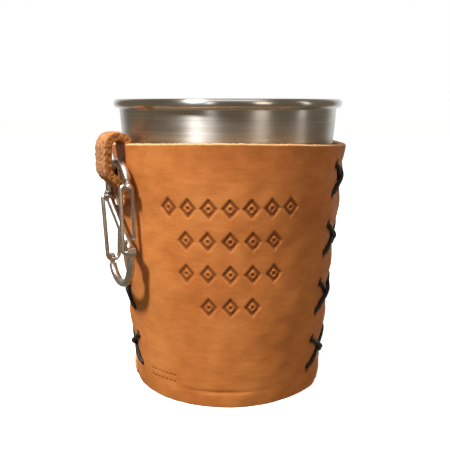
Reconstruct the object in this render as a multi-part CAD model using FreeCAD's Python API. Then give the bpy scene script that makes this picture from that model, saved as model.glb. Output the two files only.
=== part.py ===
import FreeCAD, Part
import math
import os

# A steel pint cup in a leather sleeve laced up both sides, with a hanging loop and a
# double-ended spring clip.  Millimetres, +Z up.  The origin is on the cup's axis, in the
# plane that the cup stands on.  The front of the sleeve faces -Y.  Its two laced seams are
# near +X and -X and lean towards the front as they go down.

V = FreeCAD.Vector
Z_AXIS = V(0, 0, 1)

# ---- steel cup
CUP_HEIGHT = 112.0
RIM_RADIUS = 44.5            # outside of the rolled rim
BEAD_RADIUS = 1.65           # section of the rolled rim
BEAD_FROM = -110             # degrees round the rim's section, from where the outside
BEAD_TO = 215                # of the wall runs into it to where the inside does
WALL = 0.8
CUP_BASE_RADIUS = 33.6       # wall cone carried down to the base plane
CUP_TAPER = 0.080            # radius gained per millimetre of height
BASE_RECESS = 2.2
FOOT_INNER_RADIUS = 30.0
FOOT_WIDTH = 2.2
FOOT_CORNER = 1.4            # height of the turned corner at the foot

# ---- leather
LEATHER = 3.0
SLEEVE_HEIGHT = 97.4
SLEEVE_BASE_RADIUS = 37.4    # outside, at the base plane
SLEEVE_TAPER = 0.0815
TOP_EDGE_BOW = 460.0         # the top edge dips towards the seams on this radius
SEAM_FROM_FRONT = 46.1       # along the surface at the base, from the front's middle
SEAM_LEAN = 0.185            # and gained per millimetre of height
SEAM_GAP = 1.6
TOP_CORNER = 2.0
BOTTOM_CORNER = 4.0

# ---- lacing
CORD = 1.8
CORD_FIT = 0.25              # leather stands this much clear of the cord
HOLES = 8
TOP_HOLE_Z = 88.3
HOLE_PITCH = 11.2 
HOLE_FROM_SEAM = 10.0        # along the surface
CORD_INSIDE = -LEATHER + 0.45
CORD_OUTSIDE = CORD / 2 - 0.3    # the cords press into the leather that they lie on
CROSSING_SINK = 0.3          # and further in where two of them cross
CROSSING_RISE = CORD + 0.05
CROSSING_HALF = 2.0          # half the flat top of the upper strand's hump
END_FROM_SEAM = 2.5
BAR_STEPS = 6                # runs in a level stretch inside, from one panel to the other

# ---- hanging loop, a tongue of the front panel turned outwards and down
HANG_AZIMUTH = 55.2          # degrees from the front towards the left seam
STRAP = 2.9
STRAP_WIDTH = 10.0
LOOP_RADIUS = 4.1            # middle of the leather, round the top of the loop
LOOP_CENTRE_R = 47.75
LOOP_CENTRE_Z = 94.8
OUTER_LEAN = 0.0             # lean of the outer run, degrees from upright
KNEE_Z = 85.8                # where it turns in under the clip's top bar
LOOP_SLANT = 47.0            # lean of the run from there to the panel
TAIL_END_Z = 73.0
TAIL_STANDOFF = 0.1
TAIL_BEND = 4.5
TAIL_ROUND = 4.0

# ---- double-ended clip
CLIP_BAR = 2.9
HOOK_RADIUS = 9.5            # middle of the bar
HOOK_CENTRE = 13.0           # above and below the middle of the clip
HOOK_SHORT = 25.0            # degrees that each hook stops short of a half circle
DIAGONAL_CORNER = 8.0
CLIP_PLANE_R = 47.1          # from the cup's axis to the plane of the clip
CLIP_SHIFT = 1.3             # towards the front, from the middle of the strap
CLIP_TOP_BAR_Z = 89.5
NECK = 1.9
NECK_LENGTH = 2.8
NOSE_BALL = 2.9
GATE_WIRE = 1.5
PIVOT_HALF_WIDTH = 2.8       # half the spread of the gate's legs at the pivot
CATCH_HALF_WIDTH = 2.2       # and at the bend that catches the neck
GATE_END_INSET = 0.5
GATE_PIVOT_Z = 9.1
REST_X = 6.6                 # the gate's other end bears on the flank of the diagonal here
REST_Z = 5.2
GATE_CATCH = 1.35            # from the bar's end, along the neck, to the gate's bend
PIVOT_BOSS = 4.2
PIVOT_CLEARANCE = 0.06
CONTACT_GAP = 0.06

CLIP_CENTRE_Z = CLIP_TOP_BAR_Z - HOOK_CENTRE - HOOK_RADIUS


# ------------------------------------------------------------------ helpers
def revolved(profile):
    """Solid of a closed (radius, height) outline turned about the cup's axis."""
    points = [V(r, 0, z) for r, z in profile]
    face = Part.Face(Part.makePolygon(points + points[:1]))
    return face.revolve(V(0, 0, 0), Z_AXIS, 360)


def route_edges(points, largest=12.0):
    """Straight runs joined by tangent arcs that round every corner of the route."""
    edges = []
    start = points[0]
    for before, corner, after in zip(points, points[1:], points[2:]):
        back = (before - corner).normalize()
        ahead = (after - corner).normalize()
        half_turn = (math.pi - back.getAngle(ahead)) / 2
        run = min((before - corner).Length, (after - corner).Length)
        radius = min(0.45 * run / math.tan(half_turn), largest)
        reach = radius * math.tan(half_turn)
        first = corner + back * reach
        last = corner + ahead * reach
        inward = (back + ahead).normalize()
        middle = corner + inward * (radius / math.cos(half_turn) - radius)
        edges.append(Part.makeLine(start, first))
        edges.append(Part.Arc(first, middle, last).toShape())
        start = last
    edges.append(Part.makeLine(start, points[-1]))
    return edges


def rod(edges, diameter):
    """Round bar, wire or cord along a chain of edges."""
    path = Part.Wire(edges)
    first = edges[0]
    heading = first.tangentAt(first.FirstParameter)
    section = Part.makeCircle(diameter / 2, first.valueAt(first.FirstParameter), heading)
    return path.makePipeShell([Part.Wire([section])], True, False)


def hang_frame(shape):
    """Carry a shape drawn at the front of the sleeve round to the hanging loop."""
    placed = shape.copy()
    placed.rotate(V(0, 0, 0), Z_AXIS, -HANG_AZIMUTH)
    return placed


def sleeve_radius(z):
    return SLEEVE_BASE_RADIUS + SLEEVE_TAPER * z


def on_sleeve(side, along, z, rise):
    """Point at a distance along the surface from a seam (+ is the back) and above it."""
    radius = sleeve_radius(z)
    angle = (SEAM_FROM_FRONT + SEAM_LEAN * z + along) / radius
    return V(side * (radius + rise) * math.sin(angle), -(radius + rise) * math.cos(angle), z)


def seam_plane(side):
    """A point of a seam's plane and its normal, which points to the back."""
    foot = on_sleeve(side, 0, 0, 0)
    top = on_sleeve(side, 0, SLEEVE_HEIGHT, 0)
    middle = on_sleeve(side, 0, SLEEVE_HEIGHT / 2, 0)
    outward = V(middle.x, middle.y, 0)
    return foot, ((top - foot).cross(outward) * side).normalize()


def before_seam(side, offset):
    """All that lies on the front's side of a seam's plane, moved back by the offset."""
    size = 8 * RIM_RADIUS
    foot, normal = seam_plane(side)
    block = Part.makeBox(size, size, size, V(-size / 2, -size, -size / 2))
    turn = FreeCAD.Rotation(V(0, 1, 0), normal)
    block.Placement = FreeCAD.Placement(foot + normal * offset, turn)
    return block


def save(name, shape):
    shape.exportStep("parts/" + name + ".step")


# ------------------------------------------------------------------ steel cup
def steel_cup():
    bead_z = CUP_HEIGHT - BEAD_RADIUS
    bead_r = RIM_RADIUS - BEAD_RADIUS

    def on_bead(degrees):
        angle = math.radians(degrees)
        return V(bead_r + BEAD_RADIUS * math.cos(angle), 0, bead_z + BEAD_RADIUS * math.sin(angle))

    foot_outer = FOOT_INNER_RADIUS + FOOT_WIDTH
    floor_z = BASE_RECESS + WALL
    outside = [V(0, 0, BASE_RECESS),
               V(FOOT_INNER_RADIUS - BASE_RECESS, 0, BASE_RECESS),
               V(FOOT_INNER_RADIUS, 0, 0),
               V(foot_outer, 0, 0),
               V(CUP_BASE_RADIUS + CUP_TAPER * FOOT_CORNER, 0, FOOT_CORNER),
               on_bead(BEAD_FROM)]
    inside = [on_bead(BEAD_TO),
              V(CUP_BASE_RADIUS + CUP_TAPER * 2 * floor_z - WALL, 0, 2 * floor_z),
              V(CUP_BASE_RADIUS - floor_z - WALL, 0, floor_z),
              V(0, 0, floor_z),
              outside[0]]
    bead = Part.Arc(outside[-1], on_bead((BEAD_FROM + BEAD_TO) / 2), inside[0]).toShape()
    edges = Part.makePolygon(outside).Edges + [bead] + Part.makePolygon(inside).Edges
    return Part.Face(Part.Wire(edges)).revolve(V(0, 0, 0), Z_AXIS, 360)


# ------------------------------------------------------------------ lacing route
def hole_z(index):
    return TOP_HOLE_Z - HOLE_PITCH * index


def inside_bar(side, start, end, z):
    """Stations of a level run inside the sleeve, close enough to follow its curve."""
    return [on_sleeve(side, start + (end - start) * step / BAR_STEPS, z, CORD_INSIDE)
            for step in range(1, BAR_STEPS)]


def leg(side, start, z_from, z_to, over):
    """One outside leg of a cross, from a hole on one panel to the next row on the other."""
    crossing_rise = CORD_OUTSIDE - CROSSING_SINK + (CROSSING_RISE if over else 0)
    stations = [start, start / 2, math.copysign(CROSSING_HALF, start),
                -math.copysign(CROSSING_HALF, start), -start / 2, -start]
    points = []
    for along in stations:
        share = (start - along) / (2 * start)
        rise = crossing_rise if abs(along) == CROSSING_HALF else CORD_OUTSIDE
        points.append(on_sleeve(side, along, z_from + (z_to - z_from) * share, rise))
    return points


def lace_route(side):
    """Down through four crosses, along the bottom inside, and up through them again."""
    front = -HOLE_FROM_SEAM
    points = [on_sleeve(side, -END_FROM_SEAM, hole_z(0), CORD_INSIDE),
              on_sleeve(side, front / 2, hole_z(0), CORD_INSIDE)]
    along = front
    for top in range(0, HOLES, 2):
        points.append(on_sleeve(side, along, hole_z(top), CORD_INSIDE))
        points += leg(side, along, hole_z(top), hole_z(top + 1), over=False)
        along = -along
        points.append(on_sleeve(side, along, hole_z(top + 1), CORD_INSIDE))
    points += inside_bar(side, along, -along, hole_z(HOLES - 1))
    along = -along
    for bottom in range(HOLES - 1, 0, -2):
        points.append(on_sleeve(side, along, hole_z(bottom), CORD_INSIDE))
        points += leg(side, along, hole_z(bottom), hole_z(bottom - 1), over=True)
        along = -along
        points.append(on_sleeve(side, along, hole_z(bottom - 1), CORD_INSIDE))
    points += [on_sleeve(side, along / 2, hole_z(0), CORD_INSIDE),
               on_sleeve(side, math.copysign(END_FROM_SEAM, along), hole_z(0), CORD_INSIDE)]
    return points


def lace(side):
    edges = route_edges(lace_route(side))
    cord = rod(edges, CORD)
    length = sum(edge.Length for edge in edges)
    area = math.pi * CORD ** 2 / 4
    radii = [edge.Curve.Radius for edge in edges if hasattr(edge.Curve, "Radius")]
    print("lace: length %.1f mm, volume ratio %.4f, smallest arc %.2f mm"
          % (length, cord.Volume / (area * length), min(radii)))
    return cord


# ------------------------------------------------------------------ leather panels
def lace_relief(side):
    """Holes through the leather, and the grooves that the inner runs press into it."""
    groove = CORD + 2 * CORD_FIT
    tools = []
    for index in range(HOLES):
        for along in (-HOLE_FROM_SEAM, HOLE_FROM_SEAM):
            inner = on_sleeve(side, along, hole_z(index), -2 * LEATHER)
            outer = on_sleeve(side, along, hole_z(index), 2 * LEATHER)
            tools.append(Part.makeCylinder(groove / 2, (outer - inner).Length, inner, outer - inner))
    for index in range(1, HOLES - 1, 2):
        for along in (-HOLE_FROM_SEAM, HOLE_FROM_SEAM):
            top = on_sleeve(side, along, hole_z(index), CORD_INSIDE)
            foot = on_sleeve(side, along, hole_z(index + 1), CORD_INSIDE)
            tools.append(Part.makeCylinder(groove / 2, (foot - top).Length, top, foot - top))
    for index in (0, HOLES - 1):
        route = [on_sleeve(side, -HOLE_FROM_SEAM, hole_z(index), CORD_INSIDE)]
        route += inside_bar(side, -HOLE_FROM_SEAM, HOLE_FROM_SEAM, hole_z(index))
        route.append(on_sleeve(side, HOLE_FROM_SEAM, hole_z(index), CORD_INSIDE))
        tools.append(rod(route_edges(route), groove))
    return tools


def round_corners(panel):
    """Round the panel's corners beside the seams."""
    planes = [seam_plane(side) for side in (1, -1)]
    for low, high, radius in ((-1, 1, BOTTOM_CORNER), (SLEEVE_HEIGHT - 8, SLEEVE_HEIGHT, TOP_CORNER)):
        corners = [edge for edge in panel.Edges
                   if abs(edge.Length - LEATHER) < 0.3
                   and low < edge.CenterOfMass.z < high
                   and any(abs((edge.CenterOfMass - foot).dot(normal)) < SEAM_GAP
                           for foot, normal in planes)
                   and abs(edge.Vertexes[0].Z - edge.Vertexes[-1].Z) < 1]
        panel = panel.makeFillet(radius, corners)
    return panel


def panel(front):
    inner = SLEEVE_BASE_RADIUS - LEATHER
    gained = SLEEVE_TAPER * SLEEVE_HEIGHT
    shell = revolved([(inner, 0), (SLEEVE_BASE_RADIUS, 0),
                      (SLEEVE_BASE_RADIUS + gained, SLEEVE_HEIGHT),
                      (inner + gained, SLEEVE_HEIGHT)])
    reach = 2 * RIM_RADIUS
    bow = Part.makeCylinder(TOP_EDGE_BOW, 2 * reach,
                            V(0, -reach, SLEEVE_HEIGHT - TOP_EDGE_BOW), V(0, 1, 0))
    shell = shell.common(bow)
    offset = -SEAM_GAP / 2 if front else SEAM_GAP / 2
    wedge = before_seam(1, offset).common(before_seam(-1, offset))
    shape = round_corners(shell.common(wedge) if front else shell.cut(wedge))
    return shape.cut(lace_relief(1) + lace_relief(-1))


# ------------------------------------------------------------------ hanging loop
def strap_outline():
    """Middle line of the loop in the upright plane through its middle: y is minus radius."""
    lean = math.radians(OUTER_LEAN)
    slant = math.radians(LOOP_SLANT)

    def round_loop(angle):
        return V(0, -(LOOP_CENTRE_R + LOOP_RADIUS * math.cos(angle)),
                 LOOP_CENTRE_Z + LOOP_RADIUS * math.sin(angle))

    over_top = Part.Arc(round_loop(math.pi), round_loop(math.pi / 2), round_loop(-lean)).toShape()
    leave = round_loop(-lean)
    knee = V(0, leave.y + (leave.z - KNEE_Z) * math.tan(lean), KNEE_Z)
    lift = STRAP / 2 + TAIL_STANDOFF
    fall = (-knee.y - sleeve_radius(KNEE_Z) - lift) / (math.tan(slant) - SLEEVE_TAPER)
    touch_z = KNEE_Z - fall
    touch = V(0, -(sleeve_radius(touch_z) + lift), touch_z)
    end = V(0, -(sleeve_radius(TAIL_END_Z) + lift), TAIL_END_Z)
    return [over_top] + route_edges([leave, knee, touch, end], TAIL_BEND)


def hang_loop(front_panel):
    edges = strap_outline()
    start = edges[0].valueAt(edges[0].FirstParameter)
    half = STRAP / 2
    wide = STRAP_WIDTH / 2
    section = Part.makePolygon([start + V(-wide, -half, 0), start + V(wide, -half, 0),
                                start + V(wide, half, 0), start + V(-wide, half, 0),
                                start + V(-wide, -half, 0)])
    strap = Part.Wire(edges).makePipeShell([section], True, False)
    tail_corners = [edge for edge in strap.Edges
                    if abs(edge.Length - STRAP) < 0.05 and edge.CenterOfMass.z < TAIL_END_Z + 1]
    strap = strap.makeFillet(TAIL_ROUND, tail_corners)
    return hang_frame(strap).cut(front_panel)


# ------------------------------------------------------------------ clip
def clip_point(x, z, y=0.0):
    """Point of the clip, x across it and z up it from its middle, y inward from its plane."""
    return V(x + CLIP_SHIFT, y - CLIP_PLANE_R, z + CLIP_CENTRE_Z)


def hook_tip(sign, past=0.0, inside=0.0):
    """Point (x, z) past the bar's end along the neck, and towards the inside of the hook."""
    short = math.radians(HOOK_SHORT)
    across, up = math.cos(short), math.sin(short)
    x = HOOK_RADIUS * across + past * up - inside * across
    z = HOOK_CENTRE + HOOK_RADIUS * up - past * across - inside * up
    return sign * x, sign * z


def hook_end(sign):
    """Neck and ball at the free end of one hook; sign is +1 for the upper one."""
    root = clip_point(*hook_tip(sign))
    nose = clip_point(*hook_tip(sign, NECK_LENGTH))
    return [Part.makeCylinder(NECK / 2, NECK_LENGTH, root, nose - root),
            Part.makeSphere(NOSE_BALL / 2, nose)]


def pivot_axis_cylinder(sign, diameter, length):
    centre = clip_point(-sign * HOOK_RADIUS, sign * GATE_PIVOT_Z, -length / 2)
    return Part.makeCylinder(diameter / 2, length, centre, V(0, 1, 0))


def clip_body():
    across = HOOK_RADIUS
    high = HOOK_CENTRE
    edges = [Part.Arc(clip_point(*hook_tip(1)), clip_point(0, high + across),
                      clip_point(-across, high)).toShape()]
    edges += route_edges([clip_point(-across, high), clip_point(-across, DIAGONAL_CORNER),
                          clip_point(across, -DIAGONAL_CORNER), clip_point(across, -high)])
    edges += [Part.Arc(clip_point(across, -high), clip_point(0, -high - across),
                       clip_point(*hook_tip(-1))).toShape()]
    body = rod(edges, CLIP_BAR)
    additions = hook_end(1) + hook_end(-1)
    additions += [pivot_axis_cylinder(sign, PIVOT_BOSS, CLIP_BAR) for sign in (1, -1)]
    body = body.fuse(additions)
    hole = GATE_WIRE + 2 * PIVOT_CLEARANCE
    for sign in (1, -1):
        body = body.cut(pivot_axis_cylinder(sign, hole, 2 * CLIP_BAR))
    return hang_frame(body)


def wire_gate(sign):
    """Bent wire from its pivot to the neck of the hook and back to the diagonal's flank;
    sign is +1 for the upper gate."""
    pivot = (sign * HOOK_RADIUS, -sign * GATE_PIVOT_Z)
    rest = (sign * REST_X, -sign * REST_Z)
    catch = hook_tip(sign, GATE_CATCH, NECK / 2 + GATE_WIRE / 2 + CONTACT_GAP)
    points = [clip_point(*pivot, -GATE_END_INSET), clip_point(*pivot, -PIVOT_HALF_WIDTH),
              clip_point(*catch, -CATCH_HALF_WIDTH), clip_point(*catch, CATCH_HALF_WIDTH),
              clip_point(*rest, PIVOT_HALF_WIDTH), clip_point(*rest, CLIP_BAR / 2 + CONTACT_GAP)]
    return hang_frame(rod(route_edges(points), GATE_WIRE))


# ------------------------------------------------------------------ write the parts
def main():
    os.makedirs("parts", exist_ok=True)
    front = panel(front=True)
    shapes = {"steel_cup": steel_cup(),
              "front_panel": front,
              "back_panel": panel(front=False),
              "hang_loop": hang_loop(front),
              "left_lace": lace(-1),
              "right_lace": lace(1),
              "clip_body": clip_body(),
              "upper_gate": wire_gate(1),
              "lower_gate": wire_gate(-1)}
    for name, shape in shapes.items():
        save(name, shape)
        print(name, "valid" if shape.isValid() else "NOT VALID", "solids", len(shape.Solids),
              "volume %.1f" % shape.Volume)


main()
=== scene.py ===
import math

import bpy
import numpy as np
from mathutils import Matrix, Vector


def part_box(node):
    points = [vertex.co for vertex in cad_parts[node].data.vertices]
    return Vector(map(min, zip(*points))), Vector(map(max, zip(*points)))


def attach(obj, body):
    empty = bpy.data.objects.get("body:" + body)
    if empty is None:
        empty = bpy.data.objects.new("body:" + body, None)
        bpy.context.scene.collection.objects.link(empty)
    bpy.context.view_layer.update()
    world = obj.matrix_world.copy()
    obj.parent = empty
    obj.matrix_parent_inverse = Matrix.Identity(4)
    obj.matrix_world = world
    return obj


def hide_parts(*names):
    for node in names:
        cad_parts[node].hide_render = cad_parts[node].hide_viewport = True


# A steel pint cup in a leather sleeve laced up both sides, with a hanging loop and a
# double-ended clip.  Metres, in the frame's own axes: +Z up the cup, -Y to the front.

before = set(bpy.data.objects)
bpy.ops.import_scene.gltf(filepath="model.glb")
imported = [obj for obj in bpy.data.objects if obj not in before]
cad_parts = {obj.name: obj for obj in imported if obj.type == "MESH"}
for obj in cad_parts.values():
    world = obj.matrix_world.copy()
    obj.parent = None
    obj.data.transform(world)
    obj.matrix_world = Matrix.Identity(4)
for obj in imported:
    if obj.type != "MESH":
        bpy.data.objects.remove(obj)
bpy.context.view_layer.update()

MM = 0.001

# ---- driving sizes, the same as the design's
SLEEVE_BASE_R = 37.4 * MM
SLEEVE_TAPER = 0.0815
SLEEVE_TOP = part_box("back_panel")[1].z
TOP_EDGE_BOW = 460 * MM          # the top edge dips towards the seams on this radius
LEATHER = 3.0 * MM
SEAM_FROM_FRONT = 46.1 * MM      # along the surface at the base, from the front's middle
SEAM_LEAN = 0.185                # and gained with height
SEAM_GAP = 1.6 * MM
CORD = 1.8 * MM
CORD_DRAWN_THIN = 0.9            # share of its width that a tight cord keeps
HOLES = 8
TOP_HOLE_Z = 88.3 * MM
HOLE_PITCH = 11.2 * MM
HOLE_FROM_SEAM = 10.0 * MM       # along the surface
CROSS_PITCH = 2 * HOLE_PITCH
TOP_CROSSING_Z = TOP_HOLE_Z - HOLE_PITCH / 2
HANG_AZIMUTH = math.radians(55.2)     # of the loop, from the front towards the left seam
STRAP = 2.9 * MM
STRAP_WIDTH = 10.0 * MM
LOOP_RADIUS = 4.1 * MM
LOOP_CENTRE_R = 47.75 * MM
LOOP_CENTRE_Z = 94.8 * MM
OUTER_LEAN = 0.0                 # of the loop's outer run, from upright
KNEE_Z = 85.8 * MM               # where it turns in under the clip's top bar
LOOP_SLANT = math.radians(47.0)  # of the run from there to the panel
TAIL_BEND = 4.5 * MM
TAIL_END_Z = 73.0 * MM
TAIL_STANDOFF = 0.1 * MM
TAIL_ROUND = 4.0 * MM
LOOP_FOOT_TURN = 0.36            # radians left off the half circle, where it meets the panel
CUP_BASE_R = 33.6 * MM
CUP_TAPER = 0.080
WALL = 0.8 * MM
CUP_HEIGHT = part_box("steel_cup")[1].z
RIM_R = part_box("steel_cup")[1].x
BEAD_R = 1.65 * MM

# ---- what the visible leather and cord add
ARRIS = 0.45 * MM                # softening of the leather's cut edges
CUT_EDGE = np.array([0, 0.12, 0.28, 0.5, 0.75, 1.05]) * MM
BOTTOM_ROUND, TOP_ROUND = 3.4 * MM, 2.2 * MM
PRESSED_DEPTH = 0.42 * MM
ORNAMENT_SHIFT = 3.9 * MM        # the ornament stands a little to the right of the middle
ORNAMENT_ROWS = [(75.2 * MM, 7, 7.4 * MM), (63.6 * MM, 5, 7.9 * MM),
                 (51.6 * MM, 5, 7.9 * MM), (39.4 * MM, 3, 7.8 * MM)]
MARK_START, MARK_Z, MARK_LINE = -33.5 * MM, 8.0 * MM, 2.6 * MM

# ---- the loop's own directions
OUT = np.array([-math.sin(HANG_AZIMUTH), -math.cos(HANG_AZIMUTH), 0.0])
ALONG = np.array([math.cos(HANG_AZIMUTH), -math.sin(HANG_AZIMUTH), 0.0])
UP = np.array([0.0, 0.0, 1.0])

TARGET = (0, 0, 0.055)           # the cup's middle, where the lights point


# ------------------------------------------------------------------ helpers
def smoothstep(low, high, x):
    """0 below low, 1 above high, and a smooth rise between."""
    t = np.clip((x - low) / (high - low), 0, 1)
    return t * t * (3 - 2 * t)


def unit(vector):
    return vector / np.linalg.norm(vector)


class Waves:
    """Smooth random field: a sum of plane waves near one wavelength, the same on each run."""

    def __init__(self, seed, wavelength, count=24):
        r = np.random.default_rng(seed)
        direction = r.normal(size=(count, 3))
        direction /= np.linalg.norm(direction, axis=1)[:, None]
        length = wavelength * r.uniform(0.7, 1.5, size=count)
        self.k = direction * (2 * math.pi / length)[:, None]
        self.phase = r.uniform(0, 2 * math.pi, size=count)
        self.scale = math.sqrt(2 / count)

    def __call__(self, points):
        flat = points.reshape(-1, 3)
        total = np.zeros(len(flat))
        for k, phase in zip(self.k, self.phase):
            total += np.sin(flat @ k + phase)
        return (total * self.scale).reshape(points.shape[:-1])


def mesh_piece(name, verts, faces, body, material, replaces=(), marks=None):
    """A visible piece from arrays; marks is {attribute name: value per vertex}."""
    mesh = bpy.data.meshes.new(name)
    mesh.from_pydata([tuple(v) for v in verts], [], [tuple(f) for f in faces])
    for mark, values in (marks or {}).items():
        layer = mesh.attributes.new(mark, "FLOAT", "POINT")
        layer.data.foreach_set("value", np.asarray(values, np.float32))
    mesh.polygons.foreach_set("use_smooth", [True] * len(mesh.polygons))
    mesh.update()
    piece = bpy.data.objects.new(name, mesh)
    bpy.context.scene.collection.objects.link(piece)
    piece.data.materials.append(material)
    if replaces:
        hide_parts(*replaces)
    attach(piece, body)
    return piece


def grid_faces(rows, columns, start=0, wrap=False, flip=False):
    """Quads of a grid stored row by row; wrap joins the last column to the first."""
    last = columns if wrap else columns - 1
    r, c = np.meshgrid(np.arange(rows - 1), np.arange(last), indexing="ij")
    a = r * columns + c
    b = r * columns + (c + 1) % columns
    quads = np.stack([a, b, b + columns, a + columns], -1).reshape(-1, 4) + start
    return quads[:, ::-1] if flip else quads


def closed_rings(rings, first, last):
    """Vertices and faces of equal rings joined in order, with a fan of triangles at each end."""
    count, sides = len(rings), len(rings[0])
    verts = np.concatenate([*rings, [first], [last]])
    faces = grid_faces(count, sides, wrap=True).tolist()
    tail = (count - 1) * sides
    for c in range(sides):
        d = (c + 1) % sides
        faces.append([count * sides, d, c])
        faces.append([count * sides + 1, tail + c, tail + d])
    return verts, faces


def tube(points, radius, sides, profile):
    """Vertices and faces of a closed tube; profile scales its radius by (station, angle)."""
    tangent = np.gradient(points, axis=0)
    tangent /= np.linalg.norm(tangent, axis=1)[:, None]
    normal = unit(np.cross(tangent[0], [0.31, 0.52, 0.79]))     # any way across the start
    angles = np.linspace(0, 2 * math.pi, sides, endpoint=False)
    rings = []
    for i, t in enumerate(tangent):
        normal = unit(normal - t * normal.dot(t))
        side = np.cross(t, normal)
        reach = radius * profile(i, angles)
        rings.append(points[i] + np.outer(np.cos(angles) * reach, normal)
                     + np.outer(np.sin(angles) * reach, side))
    return closed_rings(rings, points[0], points[-1])


def spline_points(route, spacing):
    """Evenly spaced points along the NURBS spline that has the route as control points."""
    curve = bpy.data.curves.new("route", "CURVE")
    curve.dimensions = "3D"
    spline = curve.splines.new("NURBS")
    spline.points.add(len(route) - 1)
    for point, place in zip(spline.points, route):
        point.co = (*place, 1.0)
    spline.order_u = 3
    spline.use_endpoint_u = True
    spline.resolution_u = 12
    carrier = bpy.data.objects.new("route", curve)
    mesh = bpy.data.meshes.new_from_object(carrier)
    line = np.array([v.co[:] for v in mesh.vertices])
    bpy.data.objects.remove(carrier)
    bpy.data.curves.remove(curve)
    bpy.data.meshes.remove(mesh)
    return resample(line, spacing)


def resample(line, spacing):
    """Evenly spaced points along a run of points in space."""
    steps = np.linalg.norm(np.diff(line, axis=0), axis=1)
    keep = np.concatenate([[True], steps > 1e-9])
    line = line[keep]
    along = np.concatenate([[0], np.cumsum(np.linalg.norm(np.diff(line, axis=0), axis=1))])
    wanted = np.linspace(0, along[-1], max(2, int(round(along[-1] / spacing)) + 1))
    return np.stack([np.interp(wanted, along, line[:, i]) for i in range(3)], 1)


# ------------------------------------------------------------------ materials
class Nodes:
    """Short way to write a node tree."""

    def __init__(self, name):
        self.material = bpy.data.materials.new(name)
        self.material.use_nodes = True
        self.tree = self.material.node_tree
        self.shader = self.tree.nodes["Principled BSDF"]

    def add(self, kind, inputs=None, **settings):
        node = self.tree.nodes.new("ShaderNode" + kind)
        for key, value in settings.items():
            setattr(node, key, value)
        for key, value in (inputs or {}).items():
            self.feed(node.inputs[key], value)
        return node

    def feed(self, socket, value):
        if isinstance(value, bpy.types.NodeSocket):
            self.tree.links.new(value, socket)
        else:
            socket.default_value = value

    def set(self, **values):
        for key, value in values.items():
            self.feed(self.shader.inputs[key.replace("_", " ")], value)

    def place(self, stretch=(1, 1, 1)):
        """Position on the object, stretched along each axis."""
        here = self.add("TexCoord").outputs["Object"]
        return self.add("Mapping", {"Vector": here, "Scale": stretch}).outputs["Vector"]

    def noise(self, scale, detail=3.0, rough=0.5, stretch=(1, 1, 1), distort=0.0):
        return self.add("TexNoise", {"Vector": self.place(stretch), "Scale": scale,
                                     "Detail": detail, "Roughness": rough,
                                     "Distortion": distort}).outputs["Fac"]

    def mark(self, name):
        return self.add("Attribute", attribute_name=name).outputs["Fac"]

    def ramp(self, value, stops):
        node = self.add("ValToRGB", {"Fac": value})
        elements = node.color_ramp.elements
        while len(elements) < len(stops):
            elements.new(0.5)
        for element, (at, colour) in zip(elements, stops):
            element.position = at
            element.color = colour
        return node.outputs["Color"]

    def span(self, value, low, high, to_low=0.0, to_high=1.0):
        return self.add("MapRange", {"Value": value, "From Min": low, "From Max": high,
                                     "To Min": to_low, "To Max": to_high}).outputs["Result"]

    def math(self, operation, a, b=0.0):
        return self.add("Math", {0: a, 1: b}, operation=operation).outputs["Value"]

    def total(self, *parts):
        """Sum of values, each given with its weight."""
        result = None
        for value, weight in parts:
            weighted = self.math("MULTIPLY", value, weight)
            result = weighted if result is None else self.math("ADD", result, weighted)
        return result

    def mix(self, share, a, b):
        node = self.add("Mix", data_type="RGBA")
        self.feed(node.inputs["Factor"], share)
        self.feed(node.inputs[6], a)
        self.feed(node.inputs[7], b)
        return node.outputs[2]

    def bump(self, height, distance, strength):
        return self.add("Bump", {"Height": height, "Distance": distance,
                                 "Strength": strength}).outputs["Normal"]


def rgb(red, green, blue):
    """An opaque colour from sRGB shares of 255, as the linear values that shaders take."""
    linear = (((c / 255 + 0.055) / 1.055) ** 2.4 if c > 10 else c / 255 / 12.92
              for c in (red, green, blue))
    return (*linear, 1.0)


def leather_material():
    """Grain side, burnished where it is tooled, darker round the lacing with painted shade and
    cord wax, pale and fibrous at the cut edges.
    """
    n = Nodes("veg_tan_leather")
    clouds = n.noise(55, 4, 0.55)
    patches = n.noise(160, 5, 0.6, stretch=(1, 1, 2.4))
    streaks = n.noise(420, 4, 0.6, stretch=(0.35, 0.35, 3.2))
    pores = n.noise(2600, 2, 0.5)
    tone = n.total((clouds, 0.5), (patches, 0.3), (streaks, 0.2))
    grain = n.ramp(tone, [(0.34, rgb(182, 104, 49)), (0.5, rgb(201, 122, 61)),
                          (0.66, rgb(215, 138, 74))])
    grain = n.mix(n.span(pores, 0.3, 0.45, 0.22, 0.0), grain, rgb(132, 68, 30))
    # painted shade in and round the lacing holes and along the furrows under the cords, with some
    # wax from the cord
    shade_and_wax = n.mix(n.mark("dark"), grain, rgb(153, 85, 40))
    tooled = n.mix(n.mark("pressed"), shade_and_wax, rgb(140, 78, 35))
    fibres = n.noise(1500, 5, 0.7)
    edge = n.ramp(fibres, [(0.3, rgb(196, 140, 90)), (0.5, rgb(224, 172, 120)),
                           (0.7, rgb(240, 205, 162))])
    colour = n.mix(n.mark("edge"), tooled, edge)
    cells = n.add("TexVoronoi", {"Vector": n.place((1, 1, 1.15)), "Scale": 1500.0},
                  feature="DISTANCE_TO_EDGE").outputs["Distance"]
    pebble = n.span(cells, 0.0, 0.18, 0.0, 1.0)
    frayed = n.math("MULTIPLY", fibres, n.mark("edge"))
    relief = n.total((pebble, 0.45), (pores, 0.35), (streaks, 0.5), (frayed, 1.2))
    n.set(Base_Color=colour, Roughness=n.span(pores, 0.3, 0.7, 0.46, 0.6),
          Normal=n.bump(relief, 0.00009, 0.55), Specular_IOR_Level=0.25)
    return n.material


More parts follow.
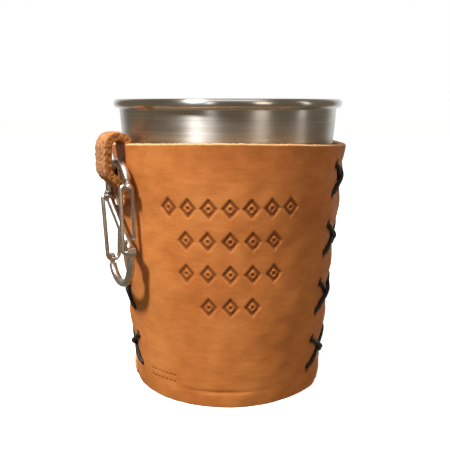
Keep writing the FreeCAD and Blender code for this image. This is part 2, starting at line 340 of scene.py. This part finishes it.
def flesh_material():
    """Rough flesh side outwards, smooth grain inside the loop, fibrous cut edges."""
    n = Nodes("leather_flesh_side")
    clumps = n.noise(520, 5, 0.65)
    fibres = n.noise(1800, 4, 0.75, distort=1.5)
    mixed = n.total((clumps, 0.55), (fibres, 0.45))
    rough = n.ramp(mixed, [(0.34, rgb(112, 64, 32)), (0.48, rgb(186, 124, 76)),
                           (0.66, rgb(228, 178, 128))])
    cut = n.ramp(mixed, [(0.3, rgb(128, 72, 34)), (0.5, rgb(178, 112, 58)),
                         (0.7, rgb(205, 143, 86))])
    grain = n.ramp(n.noise(160, 4, 0.6), [(0.35, rgb(176, 98, 48)), (0.65, rgb(208, 130, 70))])
    colour = n.mix(n.mark("cut"), rough, cut)
    colour = n.mix(n.mark("grain"), colour, grain)
    n.set(Base_Color=colour, Roughness=0.85, Normal=n.bump(mixed, 0.0007, 0.9),
          Specular_IOR_Level=0.2, Sheen_Weight=0.06, Sheen_Roughness=0.5)
    return n.material


def cup_material():
    """Stainless wall brushed round the cup, with a polished rolled rim."""
    n = Nodes("brushed_cup_steel")
    lines = n.noise(1.0, 3, 0.6, stretch=(18, 18, 5200))
    broad = n.noise(1.0, 2, 0.5, stretch=(40, 40, 700))
    smudge = n.noise(70, 3, 0.5)
    polish = n.mark("polish")
    brushed = n.math("ADD", n.span(lines, 0.3, 0.7, 0.38, 0.46),
                     n.span(smudge, 0.3, 0.7, -0.03, 0.04))
    roughness = n.add("Mix", {0: polish, 2: brushed, 3: 0.26}, data_type="FLOAT").outputs[0]
    colour = n.ramp(n.total((lines, 0.5), (broad, 0.5)),
                    [(0.35, rgb(178, 175, 171)), (0.65, rgb(205, 202, 198))])
    around_axis = n.add("Tangent", direction_type="RADIAL", axis="Z").outputs["Tangent"]
    quiet = n.math("MULTIPLY", lines, n.math("SUBTRACT", 1.0, polish))
    n.set(Base_Color=colour, Roughness=roughness, Tangent=around_axis,
          Normal=n.bump(quiet, 0.000012, 0.5), Metallic=1.0,
          Anisotropic=0.9, Anisotropic_Rotation=0.25)
    return n.material


def clip_material(name, light, dark, scale):
    """Tumbled or drawn steel: fine scratches over a satin surface."""
    n = Nodes(name)
    scratches = n.noise(scale, 4, 0.7, stretch=(1, 1, 0.25))
    smudge = n.noise(240, 3, 0.5)
    colour = n.ramp(smudge, [(0.35, dark), (0.65, light)])
    n.set(Base_Color=colour, Roughness=n.span(scratches, 0.3, 0.7, 0.24, 0.34),
          Normal=n.bump(smudge, 0.00002, 0.15), Metallic=1.0)
    return n.material


def cord_material():
    """Black waxed cord: dull with a soft wax gloss on the tops of its strands."""
    n = Nodes("waxed_black_cord")
    wax = n.noise(900, 3, 0.6)
    lint = n.noise(4200, 2, 0.6)
    colour = n.ramp(wax, [(0.35, rgb(14, 13, 10)), (0.7, rgb(36, 34, 27))])
    n.set(Base_Color=colour, Roughness=n.span(wax, 0.3, 0.7, 0.42, 0.66),
          Normal=n.bump(lint, 0.00006, 0.6), Specular_IOR_Level=0.45)
    return n.material


# ------------------------------------------------------------------ steel cup
def steel_cup(material):
    """One sheet turned about the axis: foot ring, wall, rolled rim and floor."""
    bead_r = RIM_R - BEAD_R
    bead_z = CUP_HEIGHT - BEAD_R

    def rounded(a, b, c, radius, steps=6):
        """The corner at b, between a and c, as a short curve."""
        a, b, c = (np.array(p, float) for p in (a, b, c))
        s = np.linspace(0, 1, steps)[:, None]
        return ((b + unit(a - b) * radius) * (1 - s) ** 2 + b * 2 * s * (1 - s)
                + (b + unit(c - b) * radius) * s ** 2)

    def wall(z, inwards=0.0):
        return CUP_BASE_R + CUP_TAPER * z - inwards, z

    recess, foot_in, foot_out = 2.2 * MM, 30.0 * MM, 32.2 * MM
    wall_foot, wall_foot_inside = 3 * MM, 9 * MM
    floor_z = recess + WALL
    roll = np.radians(np.linspace(-108, 217, 30))
    bead = np.stack([bead_r + BEAD_R * np.cos(roll), bead_z + BEAD_R * np.sin(roll)], 1)
    outside = [np.array([[0, recess], [foot_in * 0.5, recess]]),
               rounded((0, recess), (foot_in - recess, recess), (foot_in, 0), 1.2 * MM),
               rounded((foot_in - recess, recess), (foot_in, 0), (foot_out, 0), 0.8 * MM),
               rounded((foot_in, 0), (foot_out, 0), wall(wall_foot), 1.3 * MM),
               np.array([wall(z) for z in np.linspace(wall_foot, bead_z - 2.4 * MM, 24)])]
    inside = [np.array([wall(z, WALL)
                        for z in np.linspace(bead_z - 1.6 * MM, wall_foot_inside, 22)]),
              rounded(wall(wall_foot_inside, WALL), (CUP_BASE_R - WALL - 1 * MM, floor_z),
                      (0, floor_z), 3.5 * MM, 8),
              np.array([[foot_in * 0.5, floor_z], [0, floor_z]])]
    profile = np.concatenate(outside + [bead] + inside)
    rim_from = sum(len(p) for p in outside)
    polish = np.zeros(len(profile))
    polish[rim_from:rim_from + len(bead)] = 1
    polish[rim_from - 1] = 0.6
    sides = 192
    angle = np.linspace(0, 2 * math.pi, sides, endpoint=False)
    off_axis = profile[:, 0] > 1e-7
    r, z = profile[off_axis].T
    rings = np.stack([np.outer(r, np.cos(angle)), np.outer(r, np.sin(angle)),
                      np.repeat(z[:, None], sides, 1)], -1)
    verts, faces = closed_rings(rings, [0, 0, recess], [0, 0, floor_z])
    marks = np.concatenate([np.repeat(polish[off_axis], sides), [0, 0]])
    mesh_piece("cup_shell", verts, faces, "cup", material,
               ["steel_cup"], {"polish": marks})


# ------------------------------------------------------------------ leather panels
def cone_r(z):
    """Radius of the leather's outside at a height."""
    return SLEEVE_BASE_R + SLEEVE_TAPER * z


def seam_arc(z):
    """Distance of a seam from the front's middle, along the surface."""
    return SEAM_FROM_FRONT + SEAM_LEAN * z


def hole_rows():
    """Heights of the lacing holes, from the top down."""
    return [TOP_HOLE_Z - HOLE_PITCH * k for k in range(HOLES)]


def across_stations(middle_length, middle_step):
    """Stations from a seam inwards: close at the cut edge and at the holes, then even."""
    margin = np.arange(1.4, 7.8, 0.4) * MM
    holes = np.arange(7.8, 12.8, 0.2) * MM
    beyond = np.arange(13.0, 18.0, 0.4) * MM
    near = np.concatenate([CUT_EDGE, margin, holes, beyond])
    share = np.linspace(0, 1, int(middle_length / middle_step) + 1)
    return near, share


def up_stations():
    """Heights: close at both cut edges and at the rows of holes."""
    even = np.arange(1.5 * MM, SLEEVE_TOP - 1.5 * MM, 0.45 * MM)
    fine = np.concatenate([z + np.arange(-2.1, 2.2, 0.3) * MM for z in hole_rows()])
    near_hole = np.min(np.abs(even[:, None] - np.array(hole_rows())[None]), 1) < 2.3 * MM
    heights = np.concatenate([CUT_EDGE, even[~near_hole], fine, SLEEVE_TOP - CUT_EDGE])
    return np.unique(np.round(heights, 7)) / SLEEVE_TOP


def seam_bulge(from_edge, z):
    """The lacing draws the edges in at each cross and lets them stand out between."""
    phase = np.cos(2 * math.pi * (z - TOP_CROSSING_Z) / CROSS_PITCH)
    near = np.exp(-(from_edge / (8.5 * MM)) ** 2)
    return near * (0.4 - 0.6 * phase) * MM


def lacing_marks(from_seam, z):
    """Depth of the holes, the puckers round them and the furrows under the cords, and the share
    of painted shade with some cord wax in and round the holes and under the cords.
    """
    half_width, half_height = 1.0 * MM, 1.3 * MM     # of a hole
    strand_cosine = 0.87                             # of a strand's slope
    depth = np.zeros_like(z)
    dark = np.zeros_like(z)
    for k, row in enumerate(hole_rows()):
        q = np.hypot((from_seam - HOLE_FROM_SEAM) / half_width, (z - row) / half_height)
        depth += 2.3 * MM * (1 - smoothstep(0.7, 1.25, q))
        depth -= 0.2 * MM * np.exp(-((q - 1.7) / 0.55) ** 2)
        # painted shade in and round each hole
        dark = np.maximum(dark, 1 - smoothstep(1.0, 2.3, q))
        crossing = row + (-1 if k % 2 == 0 else 1) * HOLE_PITCH / 2
        along = np.clip((HOLE_FROM_SEAM - from_seam) / HOLE_FROM_SEAM, 0, 1)
        off = np.abs(z - (row + (crossing - row) * along)) * strand_cosine
        inside = smoothstep(0, 0.06, along)
        depth += 0.4 * MM * np.exp(-(off / (1.05 * MM)) ** 2) * inside
        # painted shade along the furrow under each cord
        dark = np.maximum(dark, 0.35 * np.exp(-(off / (1.5 * MM)) ** 2) * inside)
    return depth, dark


def lozenge_row(a, z, centre_z, count, pitch):
    """Share of pressing for one row of tooled lozenges, each with a stud at its middle."""
    half_w, half_h, line = 3.1 * MM, 3.6 * MM, 1.15 * MM
    index = np.clip(np.round(a / pitch + (count - 1) / 2), 0, count - 1)
    x = a - (index - (count - 1) / 2) * pitch
    y = z - centre_z
    slope = math.hypot(half_w, half_h)
    distance = (np.abs(x) * half_h + np.abs(y) * half_w - half_w * half_h) / slope
    frame_line = 1 - smoothstep(line * 0.38, line * 0.62, np.abs(distance + line / 2))
    stud = 1 - smoothstep(0.55 * MM, 0.8 * MM, np.hypot(x, y))
    return np.maximum(frame_line, stud)


def dot_row(a, z, from_a, centre_z, count, pitch, radius):
    """Share of pressing for one row of dots."""
    index = np.clip(np.round((a - from_a) / pitch), 0, count - 1)
    return 1 - smoothstep(radius * 0.7, radius * 1.15,
                          np.hypot(a - from_a - index * pitch, z - centre_z))


def tooling(a, z):
    """Pressed ornament on the front: four centred rows of lozenges and a small dotted mark."""
    a = a - ORNAMENT_SHIFT
    pressed = np.zeros_like(z)
    for centre_z, count, pitch in ORNAMENT_ROWS:
        pressed = np.maximum(pressed, lozenge_row(a, z, centre_z, count, pitch))
    for centre_z in (MARK_Z, MARK_Z + MARK_LINE):
        dots = dot_row(a, z, MARK_START, centre_z, 7, 1.9 * MM, 0.5 * MM)
        pressed = np.maximum(pressed, 0.7 * dots)
    return pressed


def panel_relief(front, place, centred, z, low, high, from_edge):
    """How far the outside stands proud, how deep its marks are, and where they show: painted
    shade with some cord wax round the holes and cords, and the tooling.
    """
    swell = seam_bulge(from_edge, z)
    swell += 0.16 * MM * Waves(11 if front else 12, 34 * MM)(place)
    swell += 0.05 * MM * Waves(13 if front else 14, 7 * MM)(place)
    drawn_in = np.clip(1 - (z - low) / (5 * MM), 0, 1) ** 2
    flared = np.clip(1 - (high - z) / (6 * MM), 0, 1) ** 2
    swell += 0.25 * MM * flared - 0.12 * MM * drawn_in
    depth, dark = lacing_marks(from_edge + SEAM_GAP / 2, z)
    pressed = np.zeros_like(z)
    if front:
        pressed = tooling(centred, z)
        crease = np.exp(-((z - 6.2 * MM) / (0.7 * MM)) ** 2 - (centred / (11 * MM)) ** 2)
        swell -= 0.35 * MM * crease
    return swell, depth + PRESSED_DEPTH * pressed, dark, pressed


def rim_loop(rows, columns):
    """Indices once round the border of a grid stored row by row."""
    return np.concatenate([np.arange(columns - 1),
                           np.arange(rows - 1) * columns + columns - 1,
                           (rows - 1) * columns + np.arange(columns - 1, 0, -1),
                           np.arange(rows - 1, 0, -1) * columns])


def rim_normals(loop, rows, columns, cos, sin, sign):
    """Outward direction, in the leather's plane, at each station round a panel's edge."""
    row, column = loop // columns, loop % columns
    c, s = cos[row, column], sin[row, column]
    turned = sign * np.where(column == 0, -1.0, 1.0)
    out = np.stack([-s * turned, c * turned, np.zeros(len(c))], 1)
    out[row == 0] = (0, 0, -1)
    out[row == rows - 1] = (0, 0, 1)
    return out


def closed_sheet(outer, inner, rows, columns, outwards, fibre, flip):
    """Vertices and faces of two grids of points joined all round by a frayed cut edge."""
    loop = rim_loop(rows, columns)
    total = len(outer)
    rings, parts = [loop], [outer, inner]
    for number, share in enumerate((0.3, 0.6)):
        band = outer[loop] * (1 - share) + inner[loop] * share
        parts.append(band + (fibre(band) * 0.09 * MM)[:, None] * outwards)
        rings.append(2 * total + len(loop) * number + np.arange(len(loop)))
    rings.append(loop + total)
    verts = np.concatenate(parts)
    verts[:, 2] = np.maximum(verts[:, 2], 0)
    faces = grid_faces(rows, columns, flip=flip).tolist()
    faces += grid_faces(rows, columns, total, flip=not flip).tolist()
    for one, two in zip(rings, rings[1:]):
        quads = np.stack([one, two, np.roll(two, -1), np.roll(one, -1)], 1)
        faces += (quads[:, ::-1] if flip else quads).tolist()
    return verts, faces


def leather_panel(name, front, material):
    """A sheet of leather between the two seams; from_edge is the distance to the nearer one."""
    near, share = across_stations(*((74 * MM, 0.4 * MM) if front else (115 * MM, 0.9 * MM)))
    up = up_stations()
    rows, columns = len(up), 2 * len(near) + len(share) - 2
    gap = SEAM_GAP / 2
    sign = -1 if front else 1

    level = up[:, None] * SLEEVE_TOP
    mean_r = cone_r(level)
    to_seam = seam_arc(level)
    width = 2 * (to_seam if front else mean_r * math.pi - to_seam) - 2 * gap
    middle = near[-1] + (width - 2 * near[-1]) * share[1:-1][None]
    arc = np.concatenate([np.repeat(near[None], rows, 0), middle,
                          width - np.repeat(near[::-1][None], rows, 0)], 1)
    from_edge = np.minimum(arc, width - arc)
    theta = (arc + gap - sign * (mean_r * math.pi / 2 - to_seam)) / mean_r
    cos, sin = np.cos(theta), sign * np.sin(theta)

    def corner(radius):
        inset = np.clip(radius - from_edge, 0, radius)
        return radius - np.sqrt(np.maximum(radius ** 2 - inset ** 2, 0))

    low = corner(BOTTOM_ROUND)
    high = SLEEVE_TOP - (mean_r * cos) ** 2 / (2 * TOP_EDGE_BOW) - corner(TOP_ROUND)
    z = low + up[:, None] * (high - low)
    radius = cone_r(z)
    from_rim = np.minimum(z - low, high - z)
    nearest = np.minimum(from_edge, from_rim)
    lip = np.clip(ARRIS - nearest, 0, ARRIS)
    rounding = ARRIS - np.sqrt(np.maximum(ARRIS ** 2 - lip ** 2, 0))

    place = np.stack([radius * cos, radius * sin, z], -1)
    centred = (math.pi / 2 - theta) * mean_r
    swell, depth, dark, pressed = panel_relief(front, place, centred, z, low, high, from_edge)
    ragged = Waves(21 if front else 22, 1.3 * MM)(place) * np.exp(-nearest / (0.5 * MM))
    outer_r = radius + swell - depth - rounding + 0.04 * MM * ragged
    inner_r = radius + np.maximum(swell, -0.4 * MM) - LEATHER + rounding
    lift = 0.06 * MM * ragged * (from_rim < 0.3 * MM)
    outer, inner = (np.stack([r * cos, r * sin, z + lift], -1).reshape(-1, 3)
                    for r in (outer_r, inner_r))

    outwards = rim_normals(rim_loop(rows, columns), rows, columns, cos, sin, sign)
    fibre = Waves(31 if front else 32, 0.9 * MM)
    verts, faces = closed_sheet(outer, inner, rows, columns, outwards, fibre, not front)
    edge = 1 - smoothstep(0.15 * MM, 0.55 * MM, nearest)
    hidden = len(verts) - len(outer)         # the inner face and the cut edges
    marks = {"edge": np.concatenate([edge.reshape(-1), np.ones(hidden)]),
             # dark is painted shade round the holes and under the cords, with some cord wax
             "dark": np.concatenate([dark.reshape(-1), np.zeros(hidden)]),
             "pressed": np.concatenate([pressed.reshape(-1), np.zeros(hidden)])}
    mesh_piece(name, verts, faces, "sleeve", material,
               [name.replace("_leather", "")], marks)


# ------------------------------------------------------------------ lacing
def on_sleeve(side, along, z, rise):
    """A place over the leather: along the surface from a seam, and out from it by rise."""
    radius = cone_r(z)
    angle = (seam_arc(z) + along) / radius
    return ((radius + rise) * math.sin(angle) * side, -(radius + rise) * math.cos(angle), z)


def lace_route(side):
    """Down through four crosses, along the bottom inside, and up through them again.

    Heights are the cord's middle over the leather, where a tight cord beds in a little."""
    inside, at_hole, halfway = -2.55 * MM, 0.6 * MM, 0.45 * MM
    under, over = -0.2 * MM, 1.0 * MM
    crossing_half = 1.6 * MM     # half the level part where the strands cross
    back_sink = 0.35 * MM        # how much lower the strands run over the back panel
    tuck = 2.5 * MM              # how near to the seam the hidden ends stop
    front = -HOLE_FROM_SEAM
    z = hole_rows()

    def leg(start, z_from, z_to, rise):
        points = []
        near = math.copysign(crossing_half, start)
        for along, height in ((start, at_hole), (start / 2, halfway), (near, rise),
                              (-near, rise), (-start / 2, halfway), (-start, at_hole)):
            share = (start - along) / (2 * start)
            if along > crossing_half:
                height -= back_sink
            points.append(on_sleeve(side, along, z_from + (z_to - z_from) * share, height))
        return points

    points = [on_sleeve(side, -tuck, z[0], inside), on_sleeve(side, front / 2, z[0], inside)]
    along = front
    for top in range(0, HOLES, 2):
        points.append(on_sleeve(side, along, z[top], inside))
        points += leg(along, z[top], z[top + 1], under)
        along = -along
        points.append(on_sleeve(side, along, z[top + 1], inside))
    points += [on_sleeve(side, along * (1 - step / 3), z[-1], inside) for step in range(1, 6)]
    along = -along
    for bottom in range(HOLES - 1, 0, -2):
        points.append(on_sleeve(side, along, z[bottom], inside))
        points += leg(along, z[bottom], z[bottom - 1], over)
        along = -along
        points.append(on_sleeve(side, along, z[bottom - 1], inside))
    points += [on_sleeve(side, along / 2, z[0], inside),
               on_sleeve(side, math.copysign(tuck, along), z[0], inside)]
    return points


def lace(name, side, node, material):
    """A round waxed cord with the relief of its plait."""
    spacing, plait_pitch = 0.3 * MM, 3.4 * MM
    line = spline_points(lace_route(side), spacing)
    lay = 2 * math.pi / plait_pitch * spacing

    def plait(i, angles):
        one = np.abs(np.cos(1.5 * (angles + i * lay)))
        two = np.abs(np.cos(1.5 * (angles - i * lay)))
        return 0.93 + 0.09 * np.maximum(one, two)

    verts, faces = tube(line, CORD / 2 * CORD_DRAWN_THIN, 18, plait)
    mesh_piece(name, verts, faces, "sleeve", material, [node])


# ------------------------------------------------------------------ hanging loop
def strap_line():
    """Middle line of the strap: (radius, z) points, outward normals, and lengths so far."""
    top = np.linspace(math.pi - LOOP_FOOT_TURN, -OUTER_LEAN, 60)
    curve = np.stack([LOOP_CENTRE_R + LOOP_RADIUS * np.cos(top),
                      LOOP_CENTRE_Z + LOOP_RADIUS * np.sin(top)], 1)
    lift = STRAP / 2 + TAIL_STANDOFF
    leave = curve[-1]
    knee = np.array([leave[0] + (leave[1] - KNEE_Z) * math.tan(OUTER_LEAN), KNEE_Z])
    fall = (knee[0] - cone_r(KNEE_Z) - lift) / (math.tan(LOOP_SLANT) - SLEEVE_TAPER)
    touch_z = KNEE_Z - fall
    touch = np.array([cone_r(touch_z) + lift, touch_z])
    end = np.array([cone_r(TAIL_END_Z) + lift, TAIL_END_Z])
    line = [curve]
    for before, bend, after in ((leave, knee, touch), (knee, touch, end)):
        back, ahead = unit(before - bend), unit(after - bend)
        half_turn = (math.pi - math.acos(back.dot(ahead))) / 2
        inward = unit(back + ahead)
        centre = bend + inward * TAIL_BEND / math.cos(half_turn)
        spoke = -inward
        side = np.array([-spoke[1], spoke[0]])
        side = side * np.sign(side.dot(back))
        turn = np.linspace(half_turn, -half_turn, 16)[:, None]
        line.append(centre + TAIL_BEND * (spoke * np.cos(turn) + side * np.sin(turn)))
    line = np.concatenate(line + [end[None]])
    steps = np.concatenate([[0], np.cumsum(np.linalg.norm(np.diff(line, axis=0), axis=1))])
    wanted = np.arange(0, steps[-1], 0.22 * MM)
    line = np.stack([np.interp(wanted, steps, line[:, i]) for i in (0, 1)], 1)
    tangent = np.gradient(line, axis=0)
    tangent /= np.linalg.norm(tangent, axis=1)[:, None]
    normal = np.stack([-tangent[:, 1], tangent[:, 0]], 1)
    return line, normal, wanted


def strap_section():
    """Outline of a cut through the strap, as (across, outward) points from the flesh side."""
    half_w, half_t = STRAP_WIDTH / 2, STRAP / 2
    w, t = half_w - ARRIS, half_t - ARRIS
    across, through = np.linspace(-w, w, 34), np.linspace(-t, t, 7)
    quarter = np.linspace(0, math.pi / 2, 4)[1:-1]

    def corner(x, y, start):
        return [(x + ARRIS * math.cos(start + q), y + ARRIS * math.sin(start + q))
                for q in quarter]

    section = [(x, half_t) for x in across[::-1]]
    section += corner(-w, t, math.pi / 2)
    section += [(-half_w, y) for y in through[::-1]]
    section += corner(-w, -t, math.pi)
    section += [(x, -half_t) for x in across]
    section += corner(w, -t, -math.pi / 2)
    section += [(half_w, y) for y in through]
    section += corner(w, t, 0)
    return np.array(section)


def in_space(out, across, up):
    """Points or directions from their shares of the loop's own three directions."""
    return out[:, None] * OUT + across[:, None] * ALONG + up[:, None] * UP


def hanging_loop(material):
    """The strap along its line: flesh side out, grain side in, cut edges between, and its nap."""
    line, normal, along = strap_line()
    total = along[-1]
    section = strap_section()
    narrow = np.clip(TAIL_ROUND - (total - along), 0, TAIL_ROUND)
    inset = TAIL_ROUND - np.sqrt(np.maximum(TAIL_ROUND ** 2 - narrow ** 2, 0))
    shrink = 1 - inset / (STRAP_WIDTH / 2) * 0.98
    thinned = 1 - 0.12 * smoothstep(0.75 * total, total, along)
    rings = []
    for point, out, width, thickness in zip(line, normal, shrink, thinned):
        high = section[:, 1] * thickness
        rings.append(in_space(point[0] + out[0] * high, section[:, 0] * width,
                              point[1] + out[1] * high))
    rings = np.array(rings)

    flesh, grain = (smoothstep(STRAP / 2 - 0.25 * MM, STRAP / 2 - 0.02 * MM, side)
                    for side in (section[:, 1], -section[:, 1]))
    cut = 1 - np.maximum(flesh, grain)
    outward = section / np.linalg.norm(section, axis=1)[:, None]
    push = np.array([in_space(outward[:, 1] * out[0], outward[:, 0], outward[:, 1] * out[1])
                     for out in normal])
    rough = Waves(41, 1.5 * MM, 30)(rings) * 0.10 + Waves(42, 0.7 * MM, 30)(rings) * 0.07
    amount = rough * (flesh + cut * 0.6)[None] * MM
    rings = rings + push * amount[..., None]

    count = len(section)
    faces = grid_faces(len(rings), count, wrap=True).tolist()
    faces.append(list(range(count))[::-1])
    faces.append([(len(rings) - 1) * count + i for i in range(count)])
    marks = {"cut": np.tile(cut, len(rings)), "grain": np.tile(grain, len(rings))}
    mesh_piece("hang_loop_leather", rings.reshape(-1, 3), faces, "sleeve",
               material, ["hang_loop"], marks)
    nap_rows = slice(4, len(rings) - 3)
    fleshy = np.flatnonzero(flesh > 0.5)
    fuzz("hang_loop_nap", rings[nap_rows][:, fleshy].reshape(-1, 3),
         push[nap_rows][:, fleshy].reshape(-1, 3), 900, 0.55 * MM, material, 51)


def top_edge_nap(material):
    """Fibres that stand up along the front panel's cut top edge."""
    count = 1400
    r = np.random.default_rng(43)
    turn = r.uniform(-1.3, 1.3, count)
    radius = cone_r(SLEEVE_TOP) - LEATHER * r.uniform(0.04, 0.96, count)
    x, y = radius * np.sin(turn), -radius * np.cos(turn)
    roots = np.stack([x, y, SLEEVE_TOP - x ** 2 / (2 * TOP_EDGE_BOW) - 0.05 * MM], 1)
    fuzz("front_panel_nap", roots, np.tile(UP, (count, 1)), count, 0.45 * MM, material, 44)


def fuzz(name, roots, directions, count, length, material, seed):
    """Loose fibres standing on rough leather: thin curved three-sided spikes."""
    r = np.random.default_rng(seed)
    verts, faces = [], []
    for i in r.choice(len(roots), count):
        root = roots[i] + r.normal(size=3) * 0.1 * MM
        lean = unit(directions[i] + r.normal(size=3) * 0.75)
        bend = r.normal(size=3)
        reach = length * r.uniform(0.4, 1.3)
        thick = r.uniform(0.02, 0.045) * MM
        middle = root + lean * reach * 0.5
        tip = middle + (lean + bend * 0.5) * reach * 0.5
        a = unit(np.cross(lean, [0.3, 0.5, 0.81]))
        b = np.cross(lean, a)
        ring = [a, -0.5 * a + 0.87 * b, -0.5 * a - 0.87 * b]
        foot = len(verts)
        verts += [root - lean * 0.15 * MM + q * thick for q in ring]
        verts += [middle + q * thick * 0.8 for q in ring] + [tip]
        for k in range(3):
            m = (k + 1) % 3
            faces.append([foot + k, foot + m, foot + 3 + m, foot + 3 + k])
            faces.append([foot + 3 + k, foot + 3 + m, foot + 6])
        faces.append([foot + 2, foot + 1, foot])
    mesh_piece(name, verts, faces, "sleeve", material)


# ------------------------------------------------------------------ light, floor and camera
def area_light(name, place, width, height, watts, colour):
    """A rectangular lamp turned towards the cup's middle."""
    data = bpy.data.lights.new(name, "AREA")
    data.shape = "RECTANGLE"
    data.size = width
    data.size_y = height
    data.energy = watts
    data.color = colour
    lamp = bpy.data.objects.new(name, data)
    bpy.context.scene.collection.objects.link(lamp)
    lamp.location = place
    aim = Vector(TARGET) - Vector(place)
    lamp.rotation_euler = aim.to_track_quat("-Z", "Y").to_euler()


def around(azimuth, elevation, distance):
    """A place round the cup's middle; azimuth in degrees from the front towards +X."""
    a, e = math.radians(azimuth), math.radians(elevation)
    return (distance * math.cos(e) * math.sin(a), -distance * math.cos(e) * math.cos(a),
            TARGET[2] + distance * math.sin(e))


LIGHTS = [      # name, azimuth, elevation, distance, width, height, watts, colour
    ("key", -38, 53, 1.0, 0.10, 0.10, 15.0, (1.0, 0.98, 0.94)),
    ("left_strip", -13, 14, 1.0, 0.12, 0.8, 0.6, (1.0, 1.0, 1.0)),
    ("right_box", 37, 14, 1.0, 0.24, 0.8, 1.4, (1.0, 0.9, 0.76)),
    ("right_edge", 84, 12, 1.0, 0.10, 0.8, 0.55, (1.0, 0.93, 0.84)),
    ("overhead", 0, 80, 0.8, 0.6, 0.6, 1.6, (1.0, 1.0, 1.0))]


def surroundings():
    """White behind the cup and dim warm in front of it; seen directly, plain white."""
    world = bpy.data.worlds.new("studio")
    bpy.context.scene.world = world
    world.use_nodes = True
    tree = world.node_tree
    where = tree.nodes.new("ShaderNodeTexCoord")
    split = tree.nodes.new("ShaderNodeSeparateXYZ")
    spread = tree.nodes.new("ShaderNodeMapRange")
    ramp = tree.nodes.new("ShaderNodeValToRGB")
    path = tree.nodes.new("ShaderNodeLightPath")
    mix = tree.nodes.new("ShaderNodeMix")
    mix.data_type = "RGBA"
    spread.inputs["From Min"].default_value = -1
    mix.inputs[7].default_value = (1, 1, 1, 1)
    stops = ramp.color_ramp.elements
    stops[0].position, stops[0].color = 0.0, (0.17, 0.137, 0.095, 1)
    stops[1].position, stops[1].color = 1.0, (1.0, 1.0, 1.0, 1)
    for position, colour in ((0.82, (0.22, 0.185, 0.135, 1)), (0.92, (0.85, 0.84, 0.82, 1))):
        stops.new(position).color = colour
    for output, socket in ((where.outputs["Generated"], split.inputs[0]),
                           (split.outputs["Y"], spread.inputs["Value"]),
                           (spread.outputs["Result"], ramp.inputs["Fac"]),
                           (ramp.outputs["Color"], mix.inputs[6]),
                           (path.outputs["Is Camera Ray"], mix.inputs["Factor"]),
                           (mix.outputs[2], tree.nodes["Background"].inputs["Color"])):
        tree.links.new(output, socket)


def studio_floor():
    """Pale floor that the camera sees, but that neither lights the cup nor shows in the steel."""
    n = Nodes("studio_floor")
    n.set(Base_Color=(0.85, 0.85, 0.85, 1), Roughness=0.9, Specular_IOR_Level=0.0,
          Emission_Color=(1, 1, 1, 1), Emission_Strength=0.8)
    reach = 3.0
    corners = [(-reach, -reach, 0), (reach, -reach, 0), (reach, reach, 0), (-reach, reach, 0)]
    mesh = bpy.data.meshes.new("floor")
    mesh.from_pydata(corners, [], [(0, 1, 2, 3)])
    floor = bpy.data.objects.new("floor", mesh)
    bpy.context.scene.collection.objects.link(floor)
    floor.location.z = -0.02 * MM
    floor.visible_diffuse = False
    floor.visible_glossy = False
    floor.data.materials.append(n.material)


def camera():
    """At the photograph's viewing angle: a little right of the front and looking down."""
    azimuth, pitch = math.radians(4.07), 0.190
    distance, height = 255 * MM, 110.6 * MM
    data = bpy.data.cameras.new("camera")
    data.sensor_width = 36.0
    data.lens = 50.84        # millimetres on a 36 mm wide sensor
    data.shift_x = -0.006444
    data.clip_start = 0.01
    data.dof.use_dof = False
    eye = bpy.data.objects.new("camera", data)
    bpy.context.scene.collection.objects.link(eye)
    eye.location = (distance * math.sin(azimuth), -distance * math.cos(azimuth), height)
    eye.rotation_euler = (math.pi / 2 - pitch, 0, azimuth)
    bpy.context.scene.camera = eye


# ------------------------------------------------------------------ put it together
def main():
    leather = leather_material()
    flesh = flesh_material()
    cord = cord_material()
    steel_cup(cup_material())
    leather_panel("front_panel_leather", True, leather)
    leather_panel("back_panel_leather", False, leather)
    lace("left_lace_cord", -1, "left_lace", cord)
    lace("right_lace_cord", 1, "right_lace", cord)
    hanging_loop(flesh)
    top_edge_nap(flesh)
    bar = clip_material("tumbled_clip_steel", rgb(222, 217, 211), rgb(196, 190, 183), 2600)
    wire = clip_material("drawn_gate_wire", rgb(218, 213, 207), rgb(192, 186, 179), 3800)
    for node, finish in (("clip_body", bar), ("upper_gate", wire), ("lower_gate", wire)):
        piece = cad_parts[node]
        piece.data.materials.clear()
        piece.data.materials.append(finish)
    surroundings()
    for name, azimuth, elevation, distance, *rest in LIGHTS:
        area_light(name, around(azimuth, elevation, distance), *rest)
    studio_floor()
    camera()
    bpy.context.scene.view_settings.view_transform = "Standard"


main()
